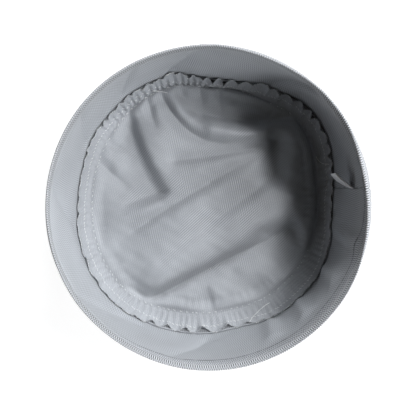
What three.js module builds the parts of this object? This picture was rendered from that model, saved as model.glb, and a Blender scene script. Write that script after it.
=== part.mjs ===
import * as THREE from 'three';

// A soft cloth kufi that lies on its crown with the open side up.
// Millimetres. The origin is on the surface it lies on, under the middle of the cap. +Z is up, out
// of the mouth. Directions round the cap are degrees anticlockwise from +X, seen from above.

// Driving dimensions
const CAP_HEIGHT = 90;
const CLOTH = 1.0;
const PLY_GAP = 0.3;
const TABLE_GAP = 0.15;
const HEM_DEPTH = 10;
const ALLOWANCE = 14;
const CROWN_CLOTH = 1.2;
const SEAM_ANGLE = 7;
const SEAM_SLIT = 0.5;

// Looseness of the crown lining, which stands off the outer crown in soft rolls
const LINING_LOFT = 8;
const LOFT_POWER = 4;
const LINING_REST = 1.5;
const SEAM_SLOPE = 5.4;
const SEAM_INSET = 0.6;

// White tab folded into the upright seam
const LABEL_LENGTH = 18;
const LABEL_HEIGHT = 13;
const LABEL_TOP = 55;
const LABEL_TURN = 34;
const LABEL_SAG = 1.5;

// Fineness of the faceted solids
const BAND_SECTORS = 48;
const RIPPLES = 48;
const LINING_RINGS = [6, 12, 24, 48, 48, 96, 96, 96, 96, 96, 96];
const ALLOWANCE_SECTORS = RIPPLES * 4;
const ALLOWANCE_STEPS = [0.3, 0.65, 1];

// Places along the curl where every ply has a corner, and where the folded-over plies start
const SEAM_PLACE = 0.07;
const CURL_PLACES = [SEAM_PLACE, 0.35, 0.7];
const SIDE_PLACES = [0, 0.3, 0.65];
const TOP_PLACES = [0, 0.5, 1];

// Shape of the wall's middle line. The curl stays flat for a share of its run and then leans out as
// it rises. The side leans on past the foot and comes upright below the shoulder.
const CURL_FLAT = 0.6;
const CURL_LEAN = 0.1;
const CURL_RISE = 0.5;
const SIDE_LEAN = 1.5;
const SIDE_UPRIGHT = 25;
const TOP_UPRIGHT = 0.4;
const TOP_ROUND = 0.35;

const WALL = 2 * CLOTH + PLY_GAP;
const WALL_HALF = WALL / 2;
const SEAM_LEVEL = TABLE_GAP + WALL_HALF;
const SHOULDER_HEIGHT = CAP_HEIGHT - HEM_DEPTH;

// Distance of the crown's allowance ply from the wall's middle line, past the wall and the band's own
// allowance, with a little more room for the ripples
const RIPPLE_ROOM = 0.2;
const RIPPLE_LEAN = 0.6;
const CROWN_PLY = WALL_HALF + 2 * PLY_GAP + 1.5 * CLOTH + RIPPLE_ROOM;

// One row for each direction. seam is the radius of the stitched crown seam and foot the inner
// radius of the wall where the turned-up allowance ends. shoulder and rim are the outer radii where
// the hem ends and at the top. ripple is the depth of the scallops in the raw edge.
const SECTIONS = [
  { angle: 0, seam: 77.3, foot: 86.5, shoulder: 95.8, rim: 92.1, ripple: 0.5 },
  { angle: 15, seam: 78.0, foot: 89.8, shoulder: 95.8, rim: 92.1, ripple: 1.0 },
  { angle: 30, seam: 83.0, foot: 94.1, shoulder: 94.9, rim: 92.9, ripple: 2.2 },
  { angle: 45, seam: 85.0, foot: 95.0, shoulder: 94.7, rim: 92.9, ripple: 2.4 },
  { angle: 60, seam: 81.4, foot: 91.8, shoulder: 95.6, rim: 91.9, ripple: 2.4 },
  { angle: 75, seam: 80.2, foot: 87.4, shoulder: 95.5, rim: 91.9, ripple: 2.2 },
  { angle: 90, seam: 79.4, foot: 87.0, shoulder: 94.1, rim: 93.3, ripple: 2.2 },
  { angle: 105, seam: 82.6, foot: 91.2, shoulder: 94.0, rim: 93.6, ripple: 2.0 },
  { angle: 120, seam: 82.3, foot: 91.9, shoulder: 94.0, rim: 93.6, ripple: 1.2 },
  { angle: 135, seam: 80.0, foot: 90.9, shoulder: 94.0, rim: 93.6, ripple: 0.7 },
  { angle: 150, seam: 78.7, foot: 90.3, shoulder: 94.0, rim: 93.6, ripple: 0.7 },
  { angle: 165, seam: 77.9, foot: 89.3, shoulder: 94.0, rim: 93.6, ripple: 0.7 },
  { angle: 180, seam: 77.5, foot: 88.4, shoulder: 94.4, rim: 93.5, ripple: 0.7 },
  { angle: 195, seam: 78.5, foot: 90.2, shoulder: 94.6, rim: 93.4, ripple: 0.7 },
  { angle: 210, seam: 79.4, foot: 92.0, shoulder: 94.2, rim: 93.6, ripple: 0.7 },
  { angle: 225, seam: 80.2, foot: 92.2, shoulder: 94.0, rim: 93.6, ripple: 0.7 },
  { angle: 240, seam: 78.6, foot: 90.9, shoulder: 94.0, rim: 93.6, ripple: 0.9 },
  { angle: 255, seam: 75.5, foot: 89.9, shoulder: 94.0, rim: 93.6, ripple: 1.6 },
  { angle: 270, seam: 74.9, foot: 89.3, shoulder: 94.0, rim: 93.6, ripple: 1.8 },
  { angle: 285, seam: 74.4, foot: 87.8, shoulder: 94.0, rim: 93.6, ripple: 1.4 },
  { angle: 300, seam: 76.1, foot: 90.8, shoulder: 94.0, rim: 93.6, ripple: 0.8 },
  { angle: 315, seam: 77.0, foot: 91.8, shoulder: 94.0, rim: 93.6, ripple: 0.5 },
  { angle: 330, seam: 77.3, foot: 91.2, shoulder: 94.2, rim: 93.5, ripple: 0.5 },
  { angle: 345, seam: 77.3, foot: 89.7, shoulder: 95.1, rim: 92.7, ripple: 0.5 },
];

// Creases between the soft rolls of the crown lining. Each runs from x0, y0 to x1, y1 and bow pushes
// its middle to the left of that run. left and right are the widths of its flanks, and start and end
// are its depths as a share of the loft.
const CREASES = [
  { x0: -48.6, y0: 63.9, x1: -26.8, y1: 9.1, bow: -3.2, left: 6.0, right: 8.0, start: 0.95, end: 0.8 },
  { x0: -38.4, y0: 70.7, x1: -35.6, y1: 63.9, bow: 0, left: 2.5, right: 3.0, start: 0.4, end: 0.3 },
  { x0: -28.8, y0: 72.8, x1: -9.6, y1: 50.9, bow: 0, left: 3.0, right: 5.0, start: 0.8, end: 0.5 },
  { x0: -19.9, y0: 69.3, x1: 62.9, y1: 57.0, bow: -9.0, left: 4.0, right: 9.0, start: 0.6, end: 1.0 },
  { x0: -2.8, y0: 76.9, x1: -2.8, y1: 69.3, bow: 0, left: 3.0, right: 3.0, start: 0.5, end: 0.3 },
  { x0: 21.1, y0: 72.8, x1: 49.9, y1: 65.2, bow: -1.0, left: 3.0, right: 4.0, start: 0.5, end: 0.6 },
  { x0: -8.3, y0: 29.0, x1: 41.0, y1: 38.6, bow: -1.5, left: 3.0, right: 5.0, start: 0.3, end: 0.5 },
  { x0: 11.6, y0: 39.2, x1: 38.9, y1: 44.7, bow: 0, left: 3.0, right: 4.0, start: 0.2, end: 0.35 },
  { x0: -59.6, y0: -27.8, x1: 32.1, y1: 24.9, bow: 1.5, left: 10.0, right: 5.0, start: 0.5, end: 0.35 },
  { x0: -49.3, y0: -63.4, x1: 58.1, y1: -16.2, bow: 0, left: 4.5, right: 10.0, start: 0.75, end: 0.85 },
  { x0: -50.7, y0: -57.9, x1: -37.7, y1: -66.1, bow: 0, left: 4.0, right: 3.0, start: 0.6, end: 0.6 },
  { x0: -73.3, y0: -8.7, x1: -67.8, y1: -34.0, bow: 0, left: 6.0, right: 3.0, start: 0.9, end: 0.9 },
  { x0: -69.9, y0: 27.6, x1: -51.4, y1: 11.9, bow: -0.5, left: 3.5, right: 5.0, start: 0.55, end: 0.4 },
  { x0: -65.1, y0: 40.6, x1: -56.9, y1: 35.8, bow: 0, left: 3.0, right: 3.0, start: 0.3, end: 0.2 },
  { x0: 3.4, y0: -64.8, x1: 7.5, y1: -73.0, bow: 0, left: 3.0, right: 3.5, start: 0.6, end: 0.7 },
  { x0: 36.2, y0: -52.4, x1: 43.0, y1: -57.9, bow: 0, left: 6.0, right: 6.0, start: 0.45, end: 0.45 },
];
const CREASE_END = 6;

const radians = (degrees) => degrees * Math.PI / 180;

// Value of one column at any direction, on a smooth curve through the rows
function sectionValue(column, angle) {
  const count = SECTIONS.length;
  const place = (((angle % 360) + 360) % 360) / (360 / count);
  const row = Math.floor(place);
  const t = place - row;
  const [a, b, c, d] = [-1, 0, 1, 2].map((step) => SECTIONS[(row + step + count) % count][column]);
  const slopeIn = (c - a) / 2;
  const slopeOut = (d - b) / 2;
  return b + slopeIn * t
    + (3 * (c - b) - 2 * slopeIn - slopeOut) * t ** 2
    + (2 * (b - c) + slopeIn + slopeOut) * t ** 3;
}

// The wall's middle line in one direction: the curl from the crown seam to the foot, the side up to
// the shoulder, and the top inside the hem. x is the radius and y the height.
function wallCurves(angle) {
  const point = (radius, height) => new THREE.Vector2(radius, height);
  const seam = sectionValue('seam', angle) - PLY_GAP;
  const foot = sectionValue('foot', angle) + WALL_HALF;
  const shoulder = sectionValue('shoulder', angle) - WALL_HALF;
  const rim = sectionValue('rim', angle) - WALL_HALF;
  const run = foot - seam;
  const lift = Math.sqrt(ALLOWANCE ** 2 - (run - 3 * CLOTH) ** 2);
  const footLevel = SEAM_LEVEL + lift;
  const rimLevel = CAP_HEIGHT - WALL_HALF;
  const curl = new THREE.CubicBezierCurve(
    point(seam, SEAM_LEVEL),
    point(seam + CURL_FLAT * run, SEAM_LEVEL),
    point(foot - CURL_LEAN * run, SEAM_LEVEL + CURL_RISE * lift),
    point(foot, footLevel),
  );
  const side = new THREE.CubicBezierCurve(
    point(foot, footLevel),
    point(foot + SIDE_LEAN * CURL_LEAN * run, footLevel + SIDE_LEAN * CURL_RISE * lift),
    point(shoulder, SHOULDER_HEIGHT - SIDE_UPRIGHT),
    point(shoulder, SHOULDER_HEIGHT),
  );
  const top = new THREE.CubicBezierCurve(
    point(shoulder, SHOULDER_HEIGHT),
    point(shoulder, SHOULDER_HEIGHT + TOP_UPRIGHT * HEM_DEPTH),
    point(rim + TOP_ROUND * (shoulder - rim), rimLevel - TOP_ROUND * HEM_DEPTH),
    point(rim, rimLevel),
  );
  return { curl, side, top };
}

// A point beside a curve: offset is the distance to its outer side, and ahead the distance along it
function beside(curve, t, offset, ahead = 0) {
  const tangent = curve.getTangent(t);
  const outward = new THREE.Vector2(tangent.y, -tangent.x);
  return curve.getPoint(t).addScaledVector(outward, offset).addScaledVector(tangent, ahead);
}

const alongCurve = (curve, places, offset) => places.map((t) => beside(curve, t, offset));
const reversed = (points) => [...points].reverse();

// Points round a fold at one end of a curve, from the outer side to the inner side
function foldArc(curve, t, centreOffset, radius, steps, direction) {
  const points = [];
  for (let step = 1; step < steps; step += 1) {
    const turn = Math.PI * step / steps;
    const offset = centreOffset + radius * Math.cos(turn);
    points.push(beside(curve, t, offset, direction * radius * Math.sin(turn)));
  }
  return points;
}

// Section of the outer band: up the outside, over the rim and down inside as the hem
function outerBandSection(angle) {
  const { curl, side, top } = wallCurves(angle);
  const far = WALL_HALF;
  const near = PLY_GAP / 2;
  const upTo = (offset) => [
    ...alongCurve(curl, [0, ...CURL_PLACES], offset),
    ...alongCurve(side, SIDE_PLACES, offset),
    ...alongCurve(top, TOP_PLACES, offset),
  ];
  return [
    ...upTo(far),
    ...foldArc(top, 1, 0, far, 4, 1),
    ...reversed(alongCurve(top, TOP_PLACES, -far)),
    ...alongCurve(top, TOP_PLACES, -near),
    ...foldArc(top, 1, 0, -near, 2, -1),
    ...reversed(upTo(near)),
  ];
}

// Section of the inner band: the lining down to the crown seam, then back up as the allowance
function innerBandSection(angle) {
  const { curl, side } = wallCurves(angle);
  const near = PLY_GAP / 2;
  const far = near + CLOTH;
  const foldCentre = -(far + near);
  const edgePlaces = [...CURL_PLACES, 1];
  const wallFace = (offset) => [
    ...alongCurve(curl, CURL_PLACES, offset),
    ...alongCurve(side, [...SIDE_PLACES, 0.99], offset),
  ];
  return [
    ...reversed(wallFace(-near)),
    ...foldArc(curl, SEAM_PLACE, foldCentre, far, 4, -1),
    ...alongCurve(curl, edgePlaces, foldCentre - far),
    ...reversed(alongCurve(curl, edgePlaces, foldCentre - near)),
    ...foldArc(curl, SEAM_PLACE, foldCentre, -near, 2, 1),
    ...wallFace(-far),
  ];
}

// Closed body from flat lists of points and triangles, turned so that its faces point out
function bodyFrom(points, triangles) {
  let volume = 0;
  const normal = new THREE.Vector3();
  for (const [a, b, c] of triangles) {
    volume += points[a].dot(normal.crossVectors(points[b], points[c])) / 6;
  }
  const faces = volume < 0 ? triangles.map(([a, b, c]) => [a, c, b]) : triangles;
  const geometry = new THREE.BufferGeometry();
  geometry.setAttribute('position', new THREE.Float32BufferAttribute(points.flatMap((p) => p.toArray()), 3));
  geometry.setIndex(faces.flat());
  geometry.computeVertexNormals();
  return geometry;
}

// Skin between matching outlines, closed at both ends. outlines hold the placed points, and flat the
// first and last outlines in their own planes.
function loft(outlines, flat) {
  const size = outlines[0].length;
  const points = outlines.flat();
  const triangles = [];
  for (let row = 0; row + 1 < outlines.length; row += 1) {
    for (let step = 0; step < size; step += 1) {
      const a = row * size + step;
      const b = row * size + (step + 1) % size;
      triangles.push([a, b, b + size], [a, b + size, a + size]);
    }
  }
  const last = (outlines.length - 1) * size;
  const [firstCap, lastCap] = flat.map((outline) => THREE.ShapeUtils.triangulateShape(outline, []));
  const clockwise = flat.map((outline) => THREE.ShapeUtils.isClockWise(outline));
  const facing = (flip, [a, b, c]) => (flip ? [a, c, b] : [a, b, c]);
  triangles.push(...firstCap.map((face) => facing(!clockwise[0], face)));
  triangles.push(...lastCap.map((face) => facing(clockwise[1], face).map((index) => index + last)));
  return bodyFrom(points, triangles);
}

// A strip of cloth round the cap, whose ends meet at the upright seam
function bandGeometry(sectionAt) {
  const slit = THREE.MathUtils.radToDeg(SEAM_SLIT / sectionValue('rim', SEAM_ANGLE));
  const first = SEAM_ANGLE + slit / 2;
  const angles = Array.from(
    { length: BAND_SECTORS + 1 },
    (_, step) => first + (360 - slit) * step / BAND_SECTORS,
  );
  const sections = angles.map(sectionAt);
  const outlines = sections.map((section, index) => {
    const turn = radians(angles[index]);
    return section.map((p) => new THREE.Vector3(p.x * Math.cos(turn), p.x * Math.sin(turn), p.y));
  });
  return loft(outlines, [sections[0], sections[BAND_SECTORS]]);
}

// Depth of one crease at x, y as a share of the loft
function creaseDepth(crease, x, y) {
  const dx = crease.x1 - crease.x0;
  const dy = crease.y1 - crease.y0;
  const length = Math.hypot(dx, dy);
  const share = ((x - crease.x0) * dx + (y - crease.y0) * dy) / length ** 2;
  const inside = THREE.MathUtils.clamp(share, 0, 1);
  const aside = ((y - crease.y0) * dx - (x - crease.x0) * dy) / length;
  const across = aside - crease.bow * 4 * inside * (1 - inside);
  const width = across > 0 ? crease.left : crease.right;
  const beyond = (share - inside) * length / CREASE_END;
  const depth = THREE.MathUtils.lerp(crease.start, crease.end, inside);
  return depth * Math.exp(-((across / width) ** 2) - beyond ** 2);
}

// Height of the crown lining's middle above the surface that the cap lies on
function liningHeight(radius, angle) {
  const seam = sectionValue('seam', angle);
  const x = radius * Math.cos(radians(angle));
  const y = radius * Math.sin(radians(angle));
  const loftHere = LINING_LOFT * (1 - Math.min(radius / seam, 1) ** LOFT_POWER);
  const open = CREASES.reduce((share, crease) => share * (1 - creaseDepth(crease, x, y)), 1);
  const rest = LINING_REST + CLOTH / 2;
  const rise = THREE.MathUtils.smoothstep(radius, seam - SEAM_INSET - SEAM_SLOPE, seam - SEAM_INSET);
  return rest + loftHere * open + (SEAM_LEVEL + CROWN_PLY - rest) * rise;
}

// Upper and lower point of the crown lining, inside the seam
function liningPair(radius, angle) {
  const turn = radians(angle);
  const height = liningHeight(radius, angle);
  const at = (level) => new THREE.Vector3(radius * Math.cos(turn), radius * Math.sin(turn), level);
  return [at(height + CLOTH / 2), at(height - CLOTH / 2)];
}

// Upper and lower point of its rippled allowance, share 0 at the seam and 1 at the raw edge
function allowancePair(share, angle) {
  const { curl } = wallCurves(angle);
  const ripple = sectionValue('ripple', angle);
  const wave = 0.5 - 0.5 * Math.cos(radians(angle * RIPPLES));
  const place = share * (1 - wave * ripple / ALLOWANCE);
  const offset = CROWN_PLY + RIPPLE_LEAN * ripple * wave * share ** 2;
  const turn = radians(angle);
  return [offset + CLOTH / 2, offset - CLOTH / 2].map((distance) => {
    const p = beside(curl, Math.max(place, SEAM_PLACE), -distance);
    return new THREE.Vector3(p.x * Math.cos(turn), p.x * Math.sin(turn), p.y);
  });
}

// Thin disc from rings of upper and lower points. Each ring has as many points as the one inside it,
// or twice as many.
function discGeometry(centre, rings) {
  const points = [...centre];
  const starts = rings.map((ring) => {
    const start = points.length;
    points.push(...ring.flat());
    return start;
  });
  const triangles = [];
  const addBoth = (a, b, c) => triangles.push([a, b, c], [a + 1, c + 1, b + 1]);
  rings.forEach((ring, level) => {
    const count = ring.length;
    const outer = (step) => starts[level] + 2 * (step % count);
    if (level === 0) {
      for (let step = 0; step < count; step += 1) {
        addBoth(0, outer(step), outer(step + 1));
      }
      return;
    }
    const innerCount = rings[level - 1].length;
    const inner = (step) => starts[level - 1] + 2 * (step % innerCount);
    const ratio = count / innerCount;
    for (let step = 0; step < innerCount; step += 1) {
      const first = outer(step * ratio);
      const last = outer((step + 1) * ratio);
      if (ratio === 2) {
        const middle = outer(step * ratio + 1);
        addBoth(inner(step), first, middle);
        addBoth(inner(step), middle, inner(step + 1));
        addBoth(inner(step + 1), middle, last);
      } else {
        addBoth(inner(step), first, last);
        addBoth(inner(step), last, inner(step + 1));
      }
    }
  });
  const edge = rings.at(-1).length;
  const edgeStart = starts.at(-1);
  for (let step = 0; step < edge; step += 1) {
    const a = edgeStart + 2 * step;
    const b = edgeStart + 2 * ((step + 1) % edge);
    triangles.push([a, a + 1, b + 1], [a, b + 1, b]);
  }
  return bodyFrom(points, triangles);
}

// Crown lining: loose rolls and creases inside the seam, then the allowance turned up the wall
function crownLiningGeometry() {
  const shares = LINING_RINGS.map((_, index) => ((index + 1) / LINING_RINGS.length) ** 0.85);
  const discRings = LINING_RINGS.map((count, index) => Array.from({ length: count }, (_, step) => {
    const angle = 360 * step / count;
    const edgeRadius = sectionValue('seam', angle) - SEAM_INSET;
    return liningPair(shares[index] * edgeRadius, angle);
  }));
  const stripRings = ALLOWANCE_STEPS.map((share) => Array.from(
    { length: ALLOWANCE_SECTORS },
    (_, step) => allowancePair(share, 360 * step / ALLOWANCE_SECTORS),
  ));
  return discGeometry(liningPair(0, 0), [...discRings, ...stripRings]);
}

// Outer crown: a flat round of cloth out to the seam
function outerCrownGeometry() {
  const outline = Array.from({ length: BAND_SECTORS * 2 }, (_, step) => {
    const angle = 360 * step / (BAND_SECTORS * 2);
    const radius = sectionValue('seam', angle) - 3 * PLY_GAP;
    return new THREE.Vector2(radius * Math.cos(radians(angle)), radius * Math.sin(radians(angle)));
  });
  return new THREE.ExtrudeGeometry(new THREE.Shape(outline), { depth: CROWN_CLOTH, bevelEnabled: false });
}

// Label: a tab that leaves the upright seam and bends to the side
function labelGeometry() {
  const { side } = wallCurves(SEAM_ANGLE);
  const foot = LABEL_TOP - LABEL_HEIGHT;
  const wallRadii = Array.from({ length: 41 }, (_, step) => beside(side, step / 40, -WALL_HALF))
    .filter((p) => p.y > foot && p.y < LABEL_TOP)
    .map((p) => p.x);
  const rootRadius = Math.min(...wallRadii) - 1.5 * PLY_GAP - CLOTH / 2 * Math.sin(radians(LABEL_TURN));
  const inward = radians(SEAM_ANGLE + 180 - LABEL_TURN);
  const across = new THREE.Vector2(-Math.sin(inward), Math.cos(inward));
  const root = new THREE.Vector2(
    rootRadius * Math.cos(radians(SEAM_ANGLE)),
    rootRadius * Math.sin(radians(SEAM_ANGLE)),
  );
  const outlines = [];
  for (let step = 0; step <= 6; step += 1) {
    const share = step / 6;
    const centre = root.clone()
      .addScaledVector(new THREE.Vector2(Math.cos(inward), Math.sin(inward)), LABEL_LENGTH * share)
      .addScaledVector(across, LABEL_SAG * 4 * share * (1 - share));
    const corner = (aside, level) => {
      const p = centre.clone().addScaledVector(across, aside);
      return new THREE.Vector3(p.x, p.y, level);
    };
    outlines.push([
      corner(-CLOTH / 2, foot),
      corner(CLOTH / 2, foot),
      corner(CLOTH / 2, LABEL_TOP),
      corner(-CLOTH / 2, LABEL_TOP),
    ]);
  }
  const flat = [[0, 0], [1, 0], [1, 1], [0, 1]].map(([x, y]) => new THREE.Vector2(x, y));
  return loft(outlines, [flat, flat]);
}

function piece(name, geometry, color, roughness) {
  const mesh = new THREE.Mesh(geometry, new THREE.MeshStandardMaterial({ color, roughness, metalness: 0 }));
  mesh.name = name;
  return mesh;
}

const kufi = new THREE.Group();
kufi.add(
  piece('outer_band', bandGeometry(outerBandSection), 0x8f9296, 0.9),
  piece('inner_band', bandGeometry(innerBandSection), 0xb2b6bd, 0.9),
  piece('outer_crown', outerCrownGeometry(), 0x8f9296, 0.9),
  piece('crown_lining', crownLiningGeometry(), 0xb2b5bb, 0.9),
  piece('label', labelGeometry(), 0xf2f2f0, 0.6),
);

export default kufi;
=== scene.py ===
import math

import bpy
import numpy as np
from mathutils import Matrix, Vector
from mathutils.bvhtree import BVHTree


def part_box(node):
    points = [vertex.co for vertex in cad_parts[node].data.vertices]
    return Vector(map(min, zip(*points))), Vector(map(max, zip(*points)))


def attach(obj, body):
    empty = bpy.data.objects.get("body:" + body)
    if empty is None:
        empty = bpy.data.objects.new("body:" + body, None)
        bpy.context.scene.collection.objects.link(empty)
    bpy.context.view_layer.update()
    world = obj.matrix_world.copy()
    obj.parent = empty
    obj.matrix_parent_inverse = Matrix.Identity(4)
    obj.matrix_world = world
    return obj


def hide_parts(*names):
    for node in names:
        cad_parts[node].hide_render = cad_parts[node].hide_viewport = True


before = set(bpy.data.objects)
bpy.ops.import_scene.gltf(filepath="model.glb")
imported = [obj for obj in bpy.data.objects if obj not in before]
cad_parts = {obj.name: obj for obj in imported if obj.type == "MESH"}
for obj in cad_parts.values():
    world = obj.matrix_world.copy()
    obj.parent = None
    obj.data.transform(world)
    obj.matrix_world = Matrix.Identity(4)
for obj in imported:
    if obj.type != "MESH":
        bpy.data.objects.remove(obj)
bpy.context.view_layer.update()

# A soft cloth kufi that lies on its crown with the open side up. Lengths are millimetres until a mesh
# is made. Directions round the cap are degrees anticlockwise from +X, seen from above.
MM = 0.001
FULL_TURN = 2 * math.pi

# Driving dimensions
CAP_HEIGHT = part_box("outer_band")[1].z / MM
CLOTH = 1.0
PLY_GAP = 0.3
TABLE_GAP = 0.15
HEM_DEPTH = 10
ALLOWANCE = 14
CROWN_CLOTH = 1.2
SEAM_ANGLE = 7
BAND_RADIUS = 92

# Looseness of the crown lining, which stands off the outer crown in soft rolls
LOFT_MIDDLE = 12
LINING_REST = 1.5
SEAM_SLOPE = 8.5
SEAM_INSET = 0.6

# Shape of the wall's middle line
SEAM_PLACE = 0.07
CURL_FLAT = 0.6
CURL_LEAN = 0.1
CURL_RISE = 0.5
SIDE_LEAN = 1.5
SIDE_UPRIGHT = 25
TOP_UPRIGHT = 0.4
TOP_ROUND = 0.35
WALL_HALF = (2 * CLOTH + PLY_GAP) / 2
NEAR = PLY_GAP / 2
SEAM_LEVEL = TABLE_GAP + WALL_HALF
SHOULDER_HEIGHT = CAP_HEIGHT - HEM_DEPTH
CROWN_PLY = WALL_HALF + 2 * PLY_GAP + 1.5 * CLOTH + 0.2

# One row for each direction: the radius of the stitched crown seam, the inner radius of the wall where
# the allowance ends, the outer radii where the hem ends and at the top, and how high and how full the
# crown lining stands off the outer crown
SECTION_COLUMNS = ("angle", "seam", "foot", "shoulder", "rim", "loft", "fullness")
SECTIONS = np.array([
    (0, 77.3, 86.5, 95.8, 93.2, 12.5, 12),
    (15, 78, 90.6, 95.8, 92.8, 12.5, 12),
    (30, 83, 95, 94.8, 94.2, 12.5, 12),
    (45, 85, 95.4, 94.9, 94.4, 12.5, 12),
    (60, 81.4, 89.3, 94.9, 93.6, 12.5, 12),
    (75, 80.2, 85.3, 94.8, 93.5, 12.5, 12),
    (90, 79.4, 85.1, 94.3, 94, 12.5, 12),
    (105, 82.6, 88.6, 94, 93.9, 12.5, 12),
    (120, 82.3, 89.3, 94, 94, 12.5, 12),
    (135, 80, 88.3, 94, 94.1, 12, 11),
    (150, 78.7, 88.1, 94, 94, 10, 7),
    (165, 77.9, 85.9, 94, 93.8, 7.5, 4),
    (180, 77.5, 86.2, 94.4, 93.7, 6.5, 4),
    (195, 78.5, 88.4, 94.6, 93.6, 6.5, 3.5),
    (210, 79.4, 90.6, 94.2, 93.8, 6.5, 3.2),
    (225, 80.2, 91.6, 94, 93.8, 8.5, 5),
    (240, 78.6, 90.9, 94, 94, 12, 11),
    (255, 75.5, 89.9, 94.2, 94.4, 12.5, 6.5),
    (270, 74.9, 89.3, 94.4, 94.7, 12.5, 5),
    (285, 74.4, 87.8, 94.6, 94.9, 12.5, 7),
    (300, 76.1, 91, 94.7, 95, 12.5, 11),
    (315, 77, 92, 94.8, 95.1, 12.5, 12),
    (330, 77.3, 92.4, 95, 95.1, 12.5, 12),
    (345, 77.3, 89.4, 95.4, 94.1, 12.5, 12),
])

# Creases between the soft rolls of the crown lining. Each runs from x0, y0 to x1, y1 and bow pushes
# its middle to the left of that run. left and right are the widths of its flanks at the start, and
# wider is how much wider they are at the end. first and last are its depths as a share of the loft,
# and a negative one is a bulge. A larger shape gives a broader bottom and steeper flanks.
CREASES = (
    # x0, y0, x1, y1, bow, left, right, first, last, wider, shape
    (-54.6, 64.5, -36.2, 6.5, -3, 4.5, 9, 0.98, 1.1, 2.2, 3),
    (-40, 73.5, -35, 57, 0, 2.5, 3, 0.9, 0.3, 1.4, 1.5),
    (-29.5, 73.4, 39, 45.5, -17, 3.4, 5, 0.85, 0.08, 1.2, 1.5),
    (-17.5, 79, -3, 61, -2.4, 8, 3.2, 0.95, 0.95, 1.2, 1.5),
    (-6, 63.8, 66, 62, -7, 13, 3.2, 0.95, 1, 1, 1.5),
    (4.7, 49.5, 40, 45.6, -1, 4.5, 7, -0.3, -0.45, 1, 2),
    (-19, 29.4, 37, 38.4, -0.8, 6, 3, 0.3, 0.42, 1, 1.5),
    (17.7, 72.1, 55.4, 63.9, -1.4, 3, 5, 0.45, 0.6, 1, 1.5),
    (-15.5, 75.5, -11.7, 68, 0, 2.5, 3, 0.7, 0.3, 1, 1.5),
    (-3.4, 77, -2, 67, 0, 2.5, 2.5, 0.95, 0.4, 1.2, 1.5),
    (9.6, 76.6, 11, 64, 0, 2.8, 3, 0.8, 0.5, 1.4, 1.5),
    (-59, -26, 37, 33, 2, 6, 3.4, 0.65, 0.25, 1.2, 1.5),
    (-28.5, -37, 47.5, 20, 0, 8, 4, 0.15, 0.35, 1, 2),
    (48.5, 42, 44.5, 19, 0, 9, 8, 0.85, 0.85, 1, 2),
    (40, -4, 57, 3.5, 0, 6, 6, 0, -0.15, 1, 2),
    (42, -22, 54, -44, 0, 12, 10, 0.6, 0.5, 1, 2),
    (-43, -68.8, 58, -17.8, 0.3, 3.4, 8.5, 1, 1.1, 1.5, 1.5),
    (19, -49, 39, -67, 0, 13, 14, 0.7, 0.7, 1, 1.8),
    (48, -30, 66, -42, 0, 9, 12, 0.6, 0.8, 1, 2),
    (-51, -59, -38.5, -68, 0, 3.2, 5, 1.4, 1.2, 1, 1.5),
    (-76, -5.5, -71, -26, 0, 3.2, 2.6, 1.4, 1.4, 1, 1.5),
    (-72.5, 28.7, -54, 12.9, -0.5, 3.5, 5, 1.9, 1.1, 1.2, 1.5),
    (-65, 41.6, -53.4, 35.4, 0, 3.5, 4, 1.6, 0.9, 1, 1.5),
    (0, -56, 3.6, -74, 0, 3.5, 8, 0.25, 0.95, 1.2, 2),
    (33, -44, 36, -60, 0, 7, 10, 0.2, 0.35, 1.1, 2),
    (51.9, -55.9, 50.6, -65.4, 0, 3, 3, 0.45, 0.45, 1, 1.5),
)
CREASE_END = 6
SOFT_SHARE = 0.14
SOFT_SPREAD = 2.4

# Creases and soft folds of the wall, each from a direction and height to another. Widths and depths
# are millimetres along the wall and out of it: a positive depth pushes the wall outwards.
WALL_FOLDS = (
    # angle0, z0, angle1, z1, bow, left, right, first, last, wider, shape
    (62, 12, 45, 84, 0, 3.5, 12, 4.2, 3.4, 1, 1.5),
    (106, 12, 87, 90, 0, 12, 3.5, 4.2, 3.4, 1, 1.5),
    (127, 20, 117, 84, 0, 2.5, 5, 1.6, 1.6, 1, 1.5),
    (152, 18, 142, 84, 0, 3, 7, 1.6, 1.4, 1, 1.5),
    (190, 14, 166, 84, 0, 3, 7, 1.8, 1.6, 1, 1.5),
    (234, 14, 213, 80, 3, 3, 9, 2.6, 2.2, 1, 1.5),
    (272, 10, 256, 66, 0, 3.5, 8, 2.2, 1.4, 1, 1.5),
    (299, 12, 297, 52, 0, 6, 6, -4, -3, 1, 2),
    (314, 12, 312, 52, 0, 6, 6, -4.4, -3.4, 1, 2),
    (331, 12, 330, 56, 0, 8, 8, -5, -4, 1, 2),
    (350, 10, 346, 70, 0, 6, 6, -3.4, -3.4, 1, 2),
)

# Notches of the crown lining's raw edge: the direction of each and how far it stands in from the wall
NOTCHES = np.array([
    (3, 0.6), (9, 0.7), (15, 1.4), (20.9, 2.2), (26.6, 1.8), (32.4, 1.6), (39, 2.6), (44, 2.4),
    (49.6, 2), (55.7, 2), (60.8, 1.6), (68.5, 1.4), (74.6, 2), (81.2, 3.6), (86.7, 2.8), (91.3, 1.4),
    (97.6, 1.6), (103, 1), (108.5, 0.8), (113.5, 1), (118.8, 1.6), (124, 0.9), (128.5, 1.1),
    (133.7, 1.4), (139, 1.3), (142.7, 1.4), (148.5, 0.6), (153, 0.8), (157, 0.9), (163, 0.5),
    (170, 0.5), (177, 0.5), (184.6, 0.8), (191, 0.5), (198, 0.5), (205, 1), (215, 0.9),
    (223, 0.5), (231, 0.4), (238, 0.5), (245.4, 1.3), (252.6, 1.5), (261, 2), (268.6, 3),
    (280.8, 2.4), (289.7, 1.6), (296.5, 1.2), (303, 0.6), (311, 0.4), (320, 0.4), (330, 0.4),
    (340, 0.4), (349, 0.4), (356, 0.5),
])
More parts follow.
